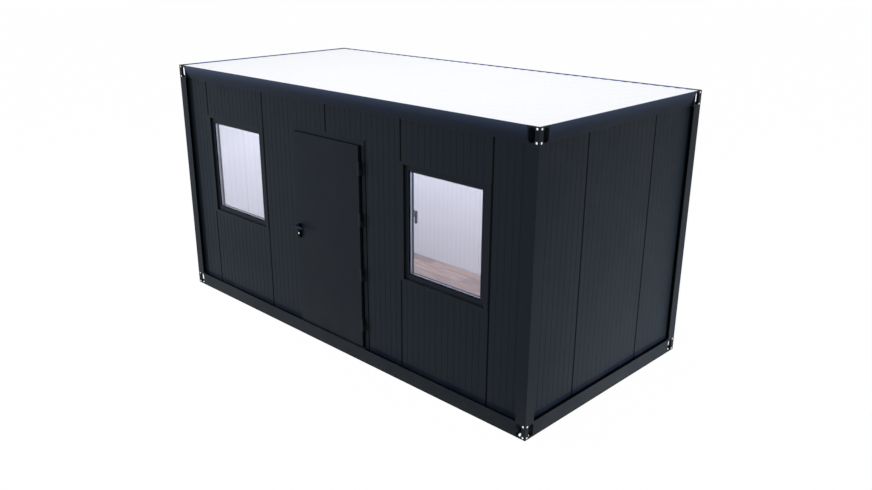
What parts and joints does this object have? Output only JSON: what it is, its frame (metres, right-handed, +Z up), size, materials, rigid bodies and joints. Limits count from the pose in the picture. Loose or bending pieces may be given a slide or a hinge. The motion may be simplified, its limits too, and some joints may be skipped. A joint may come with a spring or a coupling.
{
  "type": "portable site cabin",
  "caption": "Flat-roofed portable site cabin: steel frame with slotted corner fittings, grooved sandwich panels, windows and an outward-opening door on the long side.",
  "frame": {"origin": "middle of the plan, on the ground", "axes": "+X along the length, -Y out of the front with the door, +Z up"},
  "size_m": [5, 2.452, 2.6],
  "materials": {
    "frame_paint": "satin anthracite paint",
    "panel_paint": "satin anthracite coated sheet",
    "door_paint": "satin anthracite paint",
    "window_profile": "anthracite foil outside, white inside",
    "glass": "clear sealed unit",
    "window_handle": "satin grey",
    "sill_metal": "mill finish",
    "hinge_metal": "satin anthracite paint",
    "handle_black": "black",
    "lock_metal": "satin nickel",
    "joist_metal": "galvanised",
    "floor_wood": "printed wood plank covering",
    "ceiling_white": "white coated sheet",
    "roof_white": "white coated ribbed sheet"
  },
  "bodies": {
    "cabin": {"back_wall_panels": "panel_paint", "bottom_beam_back": "frame_paint", "bottom_beam_front": "frame_paint", "bottom_beam_left": "frame_paint", "bottom_beam_right": "frame_paint", "bottom_corner_fittings": "frame_paint", "ceiling_panel": "ceiling_white", "door_head": "frame_paint", "door_header_panels": "panel_paint", "door_jamb_hinge_side": "frame_paint", "door_jamb_latch_side": "frame_paint", "door_side_panels": "panel_paint", "door_sill": "sill_metal", "floor_deck": "floor_wood", "floor_joists": "joist_metal", "front_end_panels": "panel_paint", "jamb_hinge_halves": "hinge_metal", "left_end_panels": "panel_paint", "post_back_left": "frame_paint", "post_back_right": "frame_paint", "post_front_left": "frame_paint", "post_front_right": "frame_paint", "right_end_panels": "panel_paint", "roof_sheet": "roof_white", "top_beam_back": "frame_paint", "top_beam_front": "frame_paint", "top_beam_left": "frame_paint", "top_beam_right": "frame_paint", "top_corner_fittings": "frame_paint", "window_apron_panels": "panel_paint", "window_handles": "window_handle", "window_header_panels": "panel_paint", "window_left_casing": "window_profile", "window_left_frame": "window_profile", "window_left_glass": "glass", "window_left_sash": "window_profile", "window_right_casing": "window_profile", "window_right_frame": "window_profile", "window_right_glass": "glass", "window_right_sash": "window_profile"},
    "door": {"door_leaf": "door_paint", "leaf_hinge_halves": "hinge_metal", "handle_plates": "handle_black", "lock_cylinder": "lock_metal"},
    "lever": {"door_lever": "handle_black"}
  },
  "joints": [
    {"name": "door_hinge", "type": "hinge", "parent": "cabin", "child": "door", "pos_m": [0.4915, -1.19, 1.1], "axis": [0, 0, 1], "range_deg": [0, 165]},
    {"name": "lever_turn", "type": "hinge", "parent": "door", "child": "lever", "pos_m": [-0.433, -1.16, 1.192], "axis": [0, 1, 0], "range_deg": [0, 45], "stiffness_Nm_per_rad": 2, "springref_deg": -28.65}
  ]
}
